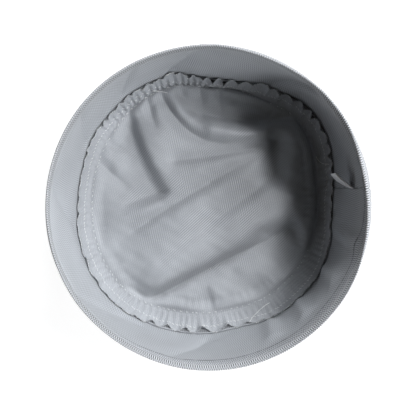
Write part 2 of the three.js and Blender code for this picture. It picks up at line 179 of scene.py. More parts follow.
# How much deeper the notches are all round and towards one side, and a long dip of the edge
NOTCH_DEEPER = 1.3
DEEP_NOTCH = 1.5
DEEP_NOTCH_SIDE = 258
DEEP_NOTCH_WIDTH = 20
LONG_DIP = 1.2
LONG_DIP_SIDE = 326
LONG_DIP_WIDTH = 16


def heading(angles):
    """Unit vectors that point in some directions."""
    turn = np.radians(angles)
    return np.stack([np.cos(turn), np.sin(turn)], -1)


def evenly(count):
    """Directions at even steps round the cap."""
    return 360 * np.arange(count) / count


def unit(vectors):
    """Vectors of length one that point the same way."""
    return vectors / np.linalg.norm(vectors, axis=-1, keepdims=True)


def column(name, angles):
    """Value of one column at any directions, on a smooth curve through the rows."""
    values = SECTIONS[:, SECTION_COLUMNS.index(name)]
    place = (np.asarray(angles, float) % 360) * len(values) / 360
    row = np.floor(place).astype(int)
    t = place - row
    a, b, c, d = (values[(row + step) % len(values)] for step in (-1, 0, 1, 2))
    slope_in = (c - a) / 2
    slope_out = (d - b) / 2
    rise = c - b
    bend = 3 * rise - 2 * slope_in - slope_out
    return b + slope_in * t + bend * t**2 + (slope_in + slope_out - 2 * rise) * t**3


def smoothstep(value, low, high):
    t = np.clip((value - low) / (high - low), 0, 1)
    return t * t * (3 - 2 * t)


def wander(x, y, wavelength, seed, waves=9):
    """Smooth wandering value, mostly between -1 and 1, from a few seeded sine waves."""
    rng = np.random.default_rng(seed)
    total = 0
    for _ in range(waves):
        turn, phase = rng.uniform(0, FULL_TURN, 2)
        length = wavelength * rng.uniform(0.6, 1.7)
        total = total + np.sin((x * math.cos(turn) + y * math.sin(turn)) * FULL_TURN / length + phase)
    return total / math.sqrt(waves)


def crease_depth(crease, x, y):
    """Depth of one crease at x, y. Its flanks fall away to each side, and its ends fade."""
    x0, y0, x1, y1, bow, left, right, first, last, wider, shape = crease
    dx = x1 - x0
    dy = y1 - y0
    length = math.hypot(dx, dy)
    share = ((x - x0) * dx + (y - y0) * dy) / length**2
    inside = np.clip(share, 0, 1)
    aside = ((y - y0) * dx - (x - x0) * dy) / length
    lean = 4 * bow * (1 - 2 * inside) / length
    across = (aside - bow * 4 * inside * (1 - inside)) / np.sqrt(1 + lean**2)
    width = np.where(across > 0, left, right) * (1 + (wider - 1) * inside)
    beyond = (share - inside) * length / CREASE_END
    depth = first + (last - first) * inside
    sharp = np.exp(-(np.abs(across / width) ** shape))
    soft = np.exp(-((across / (SOFT_SPREAD * width)) ** 2))
    return depth * ((1 - SOFT_SHARE) * sharp + SOFT_SHARE * soft) * np.exp(-(beyond**2))


def turned(angles, centre):
    """Signed degrees from a direction, between -180 and 180."""
    return (angles - centre + 180) % 360 - 180


def towards(angles, side, width, power=2):
    """1 in one direction, and less the further from it: at the width it is down to about a third."""
    return np.exp(-((turned(angles, side) / width) ** power))


# Slow sway of the wall, and the heights between which its folds begin and fade
WALL_SWAY = 0.35
SWAY_LENGTH = 42
FOLDS_BEGIN = (6, 20)
FOLDS_FADE = (62, 84)
LEFT_AT_RIM = 0.08


def wall_relief(angles, level):
    """How far the wall stands out from its plain section."""
    scale = math.radians(BAND_RADIUS)
    total = WALL_SWAY * wander(angles * scale, level * 0.5, SWAY_LENGTH, seed=5)
    for angle0, z0, angle1, z1, *shape in WALL_FOLDS:
        middle = (angle0 + angle1) / 2
        crease = ((angle0 - middle) * scale, z0, (angle1 - middle) * scale, z1, *shape)
        total = total + crease_depth(crease, turned(angles, middle) * scale, level)
    fade = 1 - (1 - LEFT_AT_RIM) * smoothstep(level, *FOLDS_FADE)
    return total * smoothstep(level, *FOLDS_BEGIN) * fade


class Wall:
    """The wall's middle line in each of some directions: the curl from the crown seam to the foot, the
    side up to the shoulder, and the top inside the hem."""

    def __init__(self, angles):
        self.angles = np.asarray(angles, float)
        seam = column("seam", angles) - PLY_GAP
        foot = column("foot", angles) + WALL_HALF
        shoulder = column("shoulder", angles) - WALL_HALF
        rim = column("rim", angles) - WALL_HALF
        run = foot - seam
        lift = np.sqrt(ALLOWANCE**2 - (run - 3 * CLOTH) ** 2)
        foot_level = SEAM_LEVEL + lift
        rim_level = CAP_HEIGHT - WALL_HALF
        self.curl = self.curve(
            (seam, SEAM_LEVEL),
            (seam + CURL_FLAT * run, SEAM_LEVEL),
            (foot - CURL_LEAN * run, SEAM_LEVEL + CURL_RISE * lift),
            (foot, foot_level),
        )
        self.side = self.curve(
            (foot, foot_level),
            (foot + SIDE_LEAN * CURL_LEAN * run, foot_level + SIDE_LEAN * CURL_RISE * lift),
            (shoulder, SHOULDER_HEIGHT - SIDE_UPRIGHT),
            (shoulder, SHOULDER_HEIGHT),
        )
        self.top = self.curve(
            (shoulder, SHOULDER_HEIGHT),
            (shoulder, SHOULDER_HEIGHT + TOP_UPRIGHT * HEM_DEPTH),
            (rim + TOP_ROUND * (shoulder - rim), rim_level - TOP_ROUND * HEM_DEPTH),
            (rim, rim_level),
        )

    def curve(self, *corners):
        rows = []
        for radius, level in corners:
            rows.append(np.stack(np.broadcast_arrays(radius, level, self.angles)[:2], -1))
        return np.stack(rows, -2)

    def beside(self, curve, places, offset, ahead=0.0):
        """Points beside a curve: offset is the distance to its outer side and ahead is along it."""
        t = np.broadcast_to(places, (len(self.angles), np.shape(places)[-1]))
        u = 1 - t
        spread = np.stack([u**3, 3 * u * u * t, 3 * u * t * t, t**3], -1)
        points = np.einsum("nmk,nkd->nmd", spread, curve)
        slopes = np.stack([u * u, 2 * u * t, t * t], -1)
        tangent = unit(np.einsum("nmk,nkd->nmd", slopes, np.diff(curve, axis=1)))
        outward = np.stack([tangent[..., 1], -tangent[..., 0]], -1)
        moved = wall_relief(self.angles[:, None], points[..., 1]) + np.asarray(offset)
        return points + outward * moved[..., None] + tangent * np.asarray(ahead)[..., None]

    def fold(self, curve, place, centre, radius, steps, direction):
        """Points round a fold at one place on a curve, from its outer side to its inner side."""
        turn = math.pi * np.arange(1, steps) / steps
        offsets = centre + radius * np.cos(turn)
        ahead = direction * abs(radius) * np.sin(turn)
        return self.beside(curve, np.full(steps - 1, float(place)), offsets, ahead)


def round_the_cap(angles, sections):
    """Points in space from radii and heights in each direction."""
    flat = heading(angles)[:, None] * sections[..., :1]
    return np.concatenate([flat, sections[..., 1:]], -1)


def add_object(name, data):
    """New object in the scene."""
    item = bpy.data.objects.new(name, data)
    bpy.context.scene.collection.objects.link(item)
    return item


def mesh_piece(name, vertices, faces, cloth_places, material):
    """Object from vertices in millimetres, faces of equal size, and each face corner's place on the
    cloth. Its faces are turned to point out."""
    first, second, third = (vertices[faces[:, k]] for k in (0, 1, 2))
    volume = np.einsum("ij,ij->i", first, np.cross(second, third)).sum()
    if faces.shape[1] == 4:
        volume += np.einsum("ij,ij->i", first, np.cross(third, vertices[faces[:, 3]])).sum()
    if volume < 0:
        faces = faces[:, ::-1]
        cloth_places = None if cloth_places is None else cloth_places[:, ::-1]
    mesh = bpy.data.meshes.new(name)
    mesh.from_pydata((vertices * MM).tolist(), [], faces.tolist())
    if cloth_places is not None:
        layer = mesh.uv_layers.new(name="cloth")
        layer.data.foreach_set("uv", np.ascontiguousarray(cloth_places, np.float32).ravel())
    mesh.polygons.foreach_set("use_smooth", np.ones(len(faces), bool))
    mesh.materials.append(material)
    mesh.update()
    return add_object(name, mesh)


def ring_faces(rings, size):
    """Quads between rings of points of one size."""
    here = np.arange((rings - 1) * size).reshape(-1, size)
    beside = np.roll(here, -1, axis=1)
    return np.stack([here, beside, beside + size, here + size], -1).reshape(-1, 4)


def closed_rings(rings, size):
    """Triangles between rings of points, and from the two points after them to the end rings."""
    quads = ring_faces(rings, size)
    steps = np.arange(size)
    ahead = (steps + 1) % size
    centre = np.full(size, rings * size)
    last = (rings - 1) * size
    ends = np.stack([centre, ahead, steps, centre + 1, last + steps, last + ahead], -1)
    return np.concatenate([quads[:, [0, 1, 2, 0, 2, 3]].reshape(-1, 3), ends.reshape(-1, 3)])


def lengths_along(sections):
    """Length along the mean section, up to each of its points and back to the first."""
    middle = sections.mean(axis=0)
    steps = np.linalg.norm(np.diff(middle, axis=0, append=middle[:1]), axis=1)
    return np.concatenate([[0], np.cumsum(steps)])


def band_piece(name, angles, sections, material):
    """Closed ring of cloth from one closed section in each direction."""
    rows, size = sections.shape[:2]
    points = round_the_cap(angles, sections).reshape(-1, 3)
    i, j = np.meshgrid(np.arange(rows), np.arange(size), indexing="ij")
    corners = ((i, j), (i + 1, j), (i + 1, j + 1), (i, j + 1))
    faces = np.stack([(a % rows) * size + b % size for a, b in corners], -1).reshape(-1, 4)
    along = lengths_along(sections)
    round_cap = np.radians(np.append(angles - angles[0], 360)) * BAND_RADIUS
    places = np.stack([np.stack([round_cap[a], along[b]], -1) for a, b in corners], -2).reshape(-1, 4, 2)
    return mesh_piece(name, points, faces, places, material)


def band_angles():
    """Directions round the cap from the upright seam, closer together beside it."""
    close = np.array([0.08, 0.16, 0.24, 0.34, 0.44, 0.6, 0.8])
    plain = np.arange(1.0, 359.5, 0.5)
    return SEAM_ANGLE + np.concatenate([[0], close, plain, 360 - close[::-1]])


# Depth and width of the ditch of the upright seam
SEAM_DITCH = 0.75
SEAM_DITCH_WIDTH = 0.5


def seam_ditch(angles):
    """Depth of the ditch where the ends of a band meet."""
    aside = turned(angles, SEAM_ANGLE) * math.radians(BAND_RADIUS)
    return SEAM_DITCH * np.exp(-((aside / SEAM_DITCH_WIDTH) ** 2))[:, None]


def places_along(count, start=0.0, end=1.0):
    return np.linspace(start, end, count)


# The rim's fold is thinner than the wall, most towards one side and least towards another
RIM_PINCH = 0.5
THIN_RIM = 0.3
THIN_RIM_SIDE = 290
THICK_RIM = 0.4
THICK_RIM_SIDE = 8
THICK_RIM_WIDTH = 22


def rim_pinch(angles):
    """How much thinner than the wall the rim's fold is, on each face."""
    thin = smoothstep(np.cos(np.radians(angles - THIN_RIM_SIDE)), 0.2, 0.8)
    thick = towards(angles, THICK_RIM_SIDE, THICK_RIM_WIDTH)
    return (RIM_PINCH + THIN_RIM * thin - THICK_RIM * thick)[:, None]


# How much thinner the cloth is at its cut edges and folded hem, over the last few points
FOOT_EDGE = np.array([0.72, 0.28, 0.08])
HEM_EDGE = np.array([0.0, 0.1, 0.25])
TOP_EDGE = np.array([0.5, 0.2, 0.0])


def outer_band(angles):
    """Section of the outer band: up the outside, over the rim and down inside as the hem."""
    wall = Wall(angles)
    ditch = seam_ditch(angles)
    outside = WALL_HALF - ditch
    inside = ditch - WALL_HALF
    pinch = rim_pinch(angles)
    up = places_along(9)[1:]
    down = places_along(11)[:0:-1]
    return np.concatenate([
        wall.beside(wall.curl, np.array([0.0, 0.01, 0.03]), outside - FOOT_EDGE),
        wall.beside(wall.curl, places_along(13, 0.06), outside),
        wall.beside(wall.side, places_along(30)[1:], outside),
        wall.beside(wall.top, up, outside - pinch * smoothstep(up, 0.2, 1.0)),
        wall.fold(wall.top, 1, 0, WALL_HALF - pinch, 10, 1),
        wall.beside(wall.top, down, inside + pinch * smoothstep(down, 0.2, 1.0)),
        wall.beside(wall.top, np.array([0.04, 0.015, 0.0]), inside + HEM_EDGE),
        wall.beside(wall.top, places_along(4), -NEAR),
        wall.fold(wall.top, 1, 0, -NEAR, 3, -1),
        wall.beside(wall.top, places_along(4)[::-1], NEAR),
        wall.beside(wall.side, places_along(9)[-2::-1], NEAR),
        wall.beside(wall.curl, places_along(6)[-2::-1], NEAR),
    ], axis=1)


# Place along the curl where the band lining's own allowance ends, and how much later it ends round one
# side. LATE_BEGINS and LATE_ENDS are degrees from that side.
ALLOWANCE_PLACE = 0.86
LATE_ALLOWANCE = 0.16
LATE_SIDE = 300
LATE_BEGINS = (-62, -45)
LATE_ENDS = (42, 60)
RAGGED = 0.012


def band_allowance_end(angles):
    """Place along the curl where the band lining's own allowance ends, slightly ragged."""
    aside = turned(angles, LATE_SIDE)
    shown = smoothstep(aside, *LATE_BEGINS) * (1 - smoothstep(aside, *LATE_ENDS))
    return ALLOWANCE_PLACE + LATE_ALLOWANCE * shown + RAGGED * wander(angles, 0, 9, seed=11)


def band_lining(angles):
    """Section of the band lining: down to the crown seam, then back up as its allowance."""
    wall = Wall(angles)
    far = NEAR + CLOTH
    fold_centre = -(far + NEAR)
    inside = seam_ditch(angles) - far
    end = np.minimum(band_allowance_end(angles), 1.0)[:, None]
    edge_places = SEAM_PLACE + (end - SEAM_PLACE) * places_along(9)
    return np.concatenate([
        wall.beside(wall.side, np.array([0.99, 0.985, 0.975]), inside + TOP_EDGE),
        wall.beside(wall.side, places_along(44, 0.0, 0.96)[::-1], inside),
        wall.beside(wall.curl, places_along(16, SEAM_PLACE)[-2::-1], inside),
        wall.fold(wall.curl, SEAM_PLACE, fold_centre, -NEAR, 3, -1)[:, ::-1],
        wall.beside(wall.curl, edge_places, fold_centre - NEAR),
        wall.beside(wall.curl, edge_places[:, ::-1], fold_centre - far),
        wall.fold(wall.curl, SEAM_PLACE, fold_centre, far, 6, -1)[:, ::-1],
        wall.beside(wall.curl, places_along(7, SEAM_PLACE), -NEAR),
        wall.beside(wall.side, places_along(12, 0.0, 0.99)[1:], -NEAR),
    ], axis=1)


def notch_dip(angles):
    """How far the raw edge stands in from the wall: rounded scallops that meet in sharp notches."""
    directions, depths = NOTCHES.T
    index = np.searchsorted(directions, angles % 360, side="right") - 1
    after = (index + 1) % len(NOTCHES)
    gap = (directions[after] - directions[index]) % 360
    share = ((angles - directions[index]) % 360) / gap
    depth = depths[index] * (1 - share) + depths[after] * share
    deeper = NOTCH_DEEPER + DEEP_NOTCH * towards(angles, DEEP_NOTCH_SIDE, DEEP_NOTCH_WIDTH)
    sag = LONG_DIP * towards(angles, LONG_DIP_SIDE, LONG_DIP_WIDTH, power=4)
    return deeper * depth * (1 - np.sin(math.pi * share)) + sag


# Puckers of the crown lining's allowance: their spacing in degrees and their height, which is greater
# over the far side and towards one near direction
PUCKER_SPACING = 3.0
PUCKER = 0.14
FAR_PUCKER = 0.95
FAR_BEGINS = (84, 98)
FAR_ENDS = (132, 142)
NEAR_PUCKER = 0.36
NEAR_SIDE = 238
NEAR_WIDTH = 26
# How far that allowance's edge is pressed to the wall, and how much farther towards some directions
PRESSED = 1.05
PRESSED_MORE = ((0.35, 175, 40), (0.55, 66, 16))


def allowance_points(angles, shares, lift):
    """Points of the crown lining's allowance, from the seam at share 0 to the raw edge at share 1."""
    wall = Wall(angles)
    angles = wall.angles
    shares = np.broadcast_to(shares, (len(angles), len(shares)))
    dip = notch_dip(angles)[:, None]
    place = np.maximum(shares * (1 - 0.35 * dip / ALLOWANCE), SEAM_PLACE * (1 + 0.3 * shares))
    room = smoothstep(angles, *FAR_BEGINS) * (1 - smoothstep(angles, *FAR_ENDS))
    strength = PUCKER + FAR_PUCKER * room + NEAR_PUCKER * towards(angles, NEAR_SIDE, NEAR_WIDTH)
    pucker = strength * np.sin(np.radians(angles * 360 / PUCKER_SPACING) + wander(angles, 0, 12, seed=3))
    between = smoothstep(shares, 0.05, 0.3) * (1 - 0.6 * smoothstep(shares, 0.6, 0.9))
    soft = 0.25 * wander(angles[:, None] * 1.6, shares * 9, 11, seed=8) * smoothstep(shares, 0.1, 0.5)
    pressed = PRESSED + sum(more * towards(angles, side, width) for more, side, width in PRESSED_MORE)
    offset = CROWN_PLY + dip * shares**2.5 + pucker[:, None] * between + soft
    offset = offset - pressed[:, None] * smoothstep(shares, 0.5, 1.0)
    return round_the_cap(angles, wall.beside(wall.curl, place, -(offset + lift)))


# Heights of the crown lining's large and small rolls with their lengths, and the height and number of
# the gathers along its seam
ROLL = 0.7
ROLL_LENGTH = 38
RIPPLE = 0.12
RIPPLE_LENGTH = 9
GATHER = 0.2
GATHERS = 73


def lining_level(radius, angles):
    """Height of the crown lining's middle above the surface that the cap lies on."""
    seam = column("seam", angles)
    x = radius * np.cos(np.radians(angles))
    y = radius * np.sin(np.radians(angles))
    share = np.minimum(radius / seam, 1)
    height = LOFT_MIDDLE + (column("loft", angles) - LOFT_MIDDLE) * smoothstep(share, 0.25, 0.9)
    loft = height * (1 - share ** column("fullness", angles))
    for crease in CREASES:
        loft = loft * (1 - crease_depth(crease, x, y))
    rest = LINING_REST + CLOTH / 2
    rise = smoothstep(radius, seam - SEAM_INSET - SEAM_SLOPE, seam - SEAM_INSET)
    roll = ROLL * wander(x, y, ROLL_LENGTH, seed=1) + RIPPLE * wander(x, y, RIPPLE_LENGTH, seed=2)
    gather = GATHER * np.sin(np.radians(angles) * GATHERS + 2 * wander(angles, 0, 20, seed=4))
    soft = roll + gather * smoothstep(radius, seam - 14, seam - 3)
    return rest + loft + (SEAM_LEVEL + CROWN_PLY - rest) * rise + soft * (1 - rise)


def disc_points(angles, radii, lift):
    """Points of the crown lining inside the seam, for radii in each direction."""
    level = lining_level(radii, angles[:, None]) + lift
    return round_the_cap(angles, np.stack([radii, level], -1))


def disc_faces(counts, offset):
    """Triangles between rings of points round a centre. Each ring has as many points as the one inside
    it, or twice as many. offset is the index of the centre."""
    start = offset + 1
    steps = np.arange(counts[0])
    centre = np.full_like(steps, offset)
    faces = [np.stack([centre, start + steps, start + (steps + 1) % counts[0]], -1)]
    for inner_count, count in zip(counts, counts[1:]):
        outer_start = start + inner_count
        steps = np.arange(inner_count)
        ratio = count // inner_count
        near = start + steps
        next_near = start + (steps + 1) % inner_count
        first = outer_start + steps * ratio
        last = outer_start + (steps + 1) * ratio % count
        if ratio == 2:
            middle = first + 1
            faces.append(np.stack([near, first, middle], -1))
            faces.append(np.stack([near, middle, next_near], -1))
            faces.append(np.stack([next_near, middle, last], -1))
        else:
            faces.append(np.stack([near, first, last], -1))
            faces.append(np.stack([near, last, next_near], -1))
        start = outer_start
    return np.concatenate(faces), start


# Rings of the crown lining's two faces, as how many rings there are of how many points each, and the
# shares of the allowance's width that the rest of the rings lie at
TOP_RINGS = ((2, 15), (3, 30), (6, 60), (11, 120), (16, 240), (26, 480), (24, 960))
UNDER_RINGS = ((2, 15), (2, 30), (3, 60), (6, 120), (10, 240), (2, 480), (3, 960))
TOP_STRIP = np.array([
    0, 0.03, 0.07, 0.12, 0.2, 0.28, 0.36, 0.44, 0.52, 0.6, 0.68, 0.76, 0.84, 0.91, 0.96, 1.0,
])
UNDER_STRIP = np.array([0, 0.1, 0.25, 0.45, 0.65, 0.82, 0.93, 1.0])
STRIP_COUNT = 960
EDGE_THIN = 0.55
RING_CROWDING = 0.92


def lining_face(rings, strip, side):
    """One face of the crown lining, as rings of points with each one's place on the cloth."""
    counts = [count for repeats, count in rings for _ in range(repeats)]
    points = [disc_points(np.zeros(1), np.zeros((1, 1)), side * CLOTH / 2)[0]]
    places = [np.zeros((1, 2))]
    for step, count in enumerate(counts):
        angles = evenly(count)
        edge = column("seam", angles) - SEAM_INSET
        share = (step + 1) / len(counts)
        radii = (edge * share**RING_CROWDING)[:, None]
        points.append(disc_points(angles, radii, side * CLOTH / 2)[:, 0])
        places.append(points[-1][:, :2])
    angles = evenly(STRIP_COUNT)
    thickness = CLOTH * (1 - (1 - EDGE_THIN) * smoothstep(strip, 0.1, 0.5)) / 2
    rows = allowance_points(angles, strip, side * thickness)
    seam = column("seam", angles)[:, None]
    for step, share in enumerate(strip):
        counts.append(STRIP_COUNT)
        points.append(rows[:, step])
        places.append(heading(angles) * (seam + ALLOWANCE * share))
    return counts, np.concatenate(points), np.concatenate(places)


def crown_lining(material):
    """Crown lining: loose rolls and creases inside the seam, then the allowance turned up the wall."""
    top_counts, top, top_places = lining_face(TOP_RINGS, TOP_STRIP, 1)
    under_counts, under, under_places = lining_face(UNDER_RINGS, UNDER_STRIP, -1)
    top_faces, top_edge = disc_faces(top_counts, 0)
    under_faces, under_edge = disc_faces(under_counts, len(top))
    steps = np.arange(STRIP_COUNT)
    ahead = (steps + 1) % STRIP_COUNT
    edge = np.concatenate([
        np.stack([top_edge + steps, under_edge + steps, under_edge + ahead], -1),
        np.stack([top_edge + steps, under_edge + ahead, top_edge + ahead], -1),
    ])
    faces = np.concatenate([top_faces, under_faces[:, ::-1], edge])
    places = np.concatenate([top_places, under_places])
    return mesh_piece("crown_lining_cloth", np.concatenate([top, under]), faces, places[faces], material)


# Rows of the outer crown from its edge inwards: how far in, and how much the cut edge is rounded there
CROWN_ROWS = (
    (0, 0.5), (0.12, 0.25), (0.5, 0.08), (1.2, 0.02), (2.4, 0), (4, 0), (7, 0), (12, 0), (20, 0), (32, 0),
    (48, 0), (64, 0),
)
CROWN_COUNT = 480
CROWN_PUCKER = 0.25


def outer_crown(material):
    """Outer crown: a flat round of cloth with a soft edge, slightly puckered along the seam."""
    angles = evenly(CROWN_COUNT)
    edge = column("seam", angles) - 3 * PLY_GAP
    pucker = CROWN_PUCKER * np.abs(wander(angles * 1.4, 0, 5, seed=21))
    under = []
    for inset, roundness in CROWN_ROWS:
        lift = roundness * CROWN_CLOTH + math.exp(-inset / 5) * pucker * (inset > 1)
        under.append(np.stack([edge - inset, lift], -1))
    upper = [row * (1, -1) + (0, CROWN_CLOTH) for row in under]
    points = round_the_cap(angles, np.stack(under[::-1] + upper, 1)).transpose(1, 0, 2)
    vertices = np.concatenate([points.reshape(-1, 3), [(0, 0, 0), (0, 0, CROWN_CLOTH)]])
    faces = closed_rings(len(points), CROWN_COUNT)
    return mesh_piece("outer_crown_cloth", vertices, faces, vertices[faces][..., :2], material)


def tube_piece(name, paths, ups, radii, sides, material):
    """Many short threads as one mesh. paths and ups hold each thread's points and their upward
    directions, and radii its radius at each point."""
    threads, steps = paths.shape[:2]
    tangent = unit(np.gradient(paths, axis=1))
    side = unit(np.cross(tangent, ups))
    up = np.cross(side, tangent)
    turn = FULL_TURN * np.arange(sides) / sides
    ring = side[:, :, None] * np.cos(turn)[:, None] + up[:, :, None] * np.sin(turn)[:, None]
    tube = paths[:, :, None] + ring * np.broadcast_to(radii, (threads, steps))[..., None, None]
    ends = np.stack([paths[:, 0], paths[:, -1]], 1)
    vertices = np.concatenate([tube.reshape(threads, -1, 3), ends], 1).reshape(-1, 3)
    first = (steps * sides + 2) * np.arange(threads)
    faces = (closed_rings(steps, sides) + first[:, None, None]).reshape(-1, 3)
    return mesh_piece(name, vertices, faces, None, material)


def surface_normal(point_at, angles, share):
    """Upward direction of the allowance at one share of its width."""
    outwards = point_at(angles, share + 0.01) - point_at(angles, share - 0.01)
    clockwise = point_at(angles - 0.1, share) - point_at(angles + 0.1, share)
    normal = np.cross(outwards, clockwise)
    return unit(normal * np.sign(normal[:, 2:3] + 1e-9))


def stitch_row(name, share, inset, pitch, length, radius, slant, seed, material):
    """A row of stitches round the cap, on the crown lining's allowance. inset moves it inwards."""
    rng = np.random.default_rng(seed)
    girth = FULL_TURN * float(column("seam", np.arange(360.0)).mean() + ALLOWANCE * share * 0.8)
    count = round(girth / pitch)
    middles = (np.arange(count) + 0.12 * rng.standard_normal(count)) * 360 / count
    half = length / 2 * 360 / girth
    steps = np.array([-1.0, -0.75, -0.35, 0.0, 0.35, 0.75, 1.0])
    rise = np.array([-0.35, 0.02, 0.17, 0.21, 0.17, 0.02, -0.35])
    aside = share + 0.006 * rng.standard_normal(count)
    lean = slant * (1 + 0.4 * rng.standard_normal(count))
    half_cloth = CLOTH * EDGE_THIN / 2 if share > 0.3 else CLOTH / 2
    paths = []
    ups = []

    def top_face(angles, place):
        return allowance_points(angles, np.array([place]), half_cloth)[:, 0]

    for step, lift in zip(steps, rise):
        angles = middles + half * step
        points = top_face(angles, share)
        normal = surface_normal(top_face, angles, share)
        outwards = unit(top_face(angles, share + 0.02) - points)
        shift = (aside - share) * ALLOWANCE - inset + lean * step
        paths.append(points + normal * lift + outwards * shift[:, None])
        ups.append(normal)
    thickness = radius * np.array([0.7, 1.0, 1.0, 1.0, 1.0, 1.0, 0.7])
    return tube_piece(name, np.stack(paths, 1), np.stack(ups, 1), thickness, 6, material)


# Loose threads of the raw edge: their number, lengths, sway round the cap and bend towards its middle,
# and how far back from the edge they start
FRAY_COUNT = 1500
FRAY_LENGTHS = (0.5, 1.7)
FRAY_SWAY = 0.5
FRAY_TUCKS = (-0.15, 0.5)
FRAY_ROOT = 0.3


def fray(name, seed, material):
    """Short loose threads along the crown lining's raw edge."""
    rng = np.random.default_rng(seed)
    angles = rng.uniform(0, 360, FRAY_COUNT)
    root = allowance_points(angles, np.array([0.93, 1.0]), 0.0)
    out = unit(root[:, 1] - root[:, 0])
    length = rng.uniform(*FRAY_LENGTHS, FRAY_COUNT)[:, None]
    sway = rng.normal(0, FRAY_SWAY, FRAY_COUNT)[:, None]
    tuck = rng.uniform(*FRAY_TUCKS, FRAY_COUNT)[:, None]
    inward = np.column_stack([-heading(angles), 0 * angles])
    round_cap = np.column_stack([heading(angles + 90), 0 * angles])
    bend = round_cap * sway + inward * tuck
    paths = []
    for t in (0.0, 0.4, 0.75, 1.0):
        paths.append(root[:, 1] + out * (length * t - FRAY_ROOT) + bend * t * t)
    ups = np.repeat(inward[:, None], 4, 1)
    return tube_piece(name, np.stack(paths, 1), ups, np.array([0.09, 0.09, 0.07, 0.04]), 4, material)


# Loose threads that lie on the cloth: the radius of each, then the spots it passes
LOOSE_THREADS = (
    (0.17, (-36.3, 75.5), (-33.5, 76.0), (-30.9, 75.8), (-28.0, 75.3), (-25.4, 74.5)),
    (0.14, (-32.9, 83.2), (-28.7, 84.4), (-24.0, 86.4), (-19.4, 88.2)),
    (0.18, (30.0, -81.2), (32.6, -77.7), (36.2, -74.3), (41.0, -70.2), (44.4, -68.2)),
    (0.16, (75.6, 32.2), (77.5, 29.2), (80.4, 27.1), (83.2, 26.8), (84.1, 26.4)),
)
# Points from each spot to the next, height over the cloth, and the height to look down for it from
THREAD_STEPS = 10
THREAD_RISE = 0.15
START_LEVEL = 40


def smooth_path(spots):
    """Points on a smooth curve through some spots."""
    spots = np.array(spots, float)
    padded = np.concatenate([2 * spots[:1] - spots[1:2], spots, 2 * spots[-1:] - spots[-2:-1]])
    t = (np.arange(THREAD_STEPS) / THREAD_STEPS)[:, None]
    path = []
    for a, b, c, d in zip(padded, padded[1:], padded[2:], padded[3:]):
        bend = 2 * a - 5 * b + 4 * c - d
        twist = 3 * b - a - 3 * c + d
        path.append(b + (c - a) * t / 2 + bend * t**2 / 2 + twist * t**3 / 2)
    return np.concatenate(path + [spots[-1:]])


def loose_threads(cloths, material):
    """Loose threads laid on the highest of some pieces of cloth."""
    bpy.context.view_layer.update()
    depsgraph = bpy.context.evaluated_depsgraph_get()
    trees = [BVHTree.FromObject(cloth, depsgraph) for cloth in cloths]
    parts = []
    for index, (radius, *spots) in enumerate(LOOSE_THREADS):
        flat = smooth_path(spots)
        levels = []
        for x, y in flat:
            start = Vector((x, y, START_LEVEL)) * MM
            hits = [tree.ray_cast(start, Vector((0, 0, -1)))[0] for tree in trees]
            levels.append(max((hit.z / MM for hit in hits if hit is not None), default=0))
        levels = np.array(levels)
        eased = np.convolve(np.pad(levels, 3, mode="edge"), np.ones(7) / 7, mode="valid")
        level = np.maximum(levels, eased) + radius + THREAD_RISE
        path = np.column_stack([flat, level])[None]
        ups = np.broadcast_to(np.array([0.0, 0.0, 1.0]), path.shape)
        steps = np.arange(len(flat))
        thickness = radius * np.minimum(1, 0.5 + np.minimum(steps, steps[::-1]) / 4)
        parts.append(tube_piece(f"loose_thread_{index + 1}", path, ups, thickness, 6, material))
    return parts


# White tab folded into the upright seam. Its two plies swell apart and close round at the end.
LABEL_LENGTH = 15
LABEL_HEIGHT = 13
LABEL_TOP = 55
LABEL_TURN = 45
LABEL_SAG = 0.8
LABEL_TILT = 0.35
LABEL_TUCK = 0.2
LABEL_HALF = 0.28
LABEL_SWELL = 0.3
LABEL_BULGE = 0.15
LABEL_ROUND = 0.06
LABEL_COLUMNS = 9


def label_piece(material):
    """A tab of satin ribbon that leaves the upright seam, folded in two, and bends to the side."""
    wall = Wall(np.array([float(SEAM_ANGLE)]))
    face = wall.beside(wall.side, places_along(60), -WALL_HALF)[0]
    shown = (face[:, 1] > LABEL_TOP - LABEL_HEIGHT) & (face[:, 1] < LABEL_TOP)
    root = (face[shown, 0].min() - LABEL_TUCK) * heading(SEAM_ANGLE)
    ahead = heading(SEAM_ANGLE + 180 - LABEL_TURN)
    across = np.array([-ahead[1], ahead[0]])
    share = places_along(25)[:, None]
    half = LABEL_HALF + LABEL_SWELL * np.sin(math.pi * share**2.2) ** 2
    past = np.maximum(share - (1 - LABEL_ROUND), 0) / LABEL_ROUND
    half = half * np.sqrt(np.maximum(1 - past**2, 0.02))
    height = np.concatenate([places_along(LABEL_COLUMNS), places_along(LABEL_COLUMNS)[::-1]])
    side = np.repeat([1, -1], LABEL_COLUMNS)
    tilt = LABEL_TILT * (1 - 2 * height) * smoothstep(share, 0.0, 0.5)
    aside = half * side + tilt + LABEL_BULGE * np.sin(math.pi * height)
    middle = root + ahead * LABEL_LENGTH * share + across * LABEL_SAG * 4 * share * (1 - share)
    flat = middle[:, None] + across * aside[..., None]
    level = np.broadcast_to(LABEL_TOP - LABEL_HEIGHT * (1 - height), aside.shape)
    points = np.concatenate([flat, level[..., None]], -1)
    rows, size = aside.shape
    ends = []
    for row in (0, rows - 1):
        for k in range(size // 2 - 1):
            quad = [row * size + spot for spot in (k, k + 1, size - 2 - k, size - 1 - k)]
            ends.append(quad if row else quad[::-1])
    faces = np.concatenate([ring_faces(rows, size), ends])
    row_index, column_index = np.divmod(faces, size)
    places = np.stack([row_index / (rows - 1) * LABEL_LENGTH, height[column_index] * LABEL_HEIGHT], -1)
    return mesh_piece("label_tab", points.reshape(-1, 3), faces, places, material)


# Direction in which the hem's specks show most, the hem is painted lighter and its edge carries a painted
# shadow, and the one in which the band lining's painted shadow line below the hem shows, with how far it
# drops there
HEM_SIDE = 310
SHADOW_LINE_SIDE = 310
SHADOW_LINE_DROP = 9.5
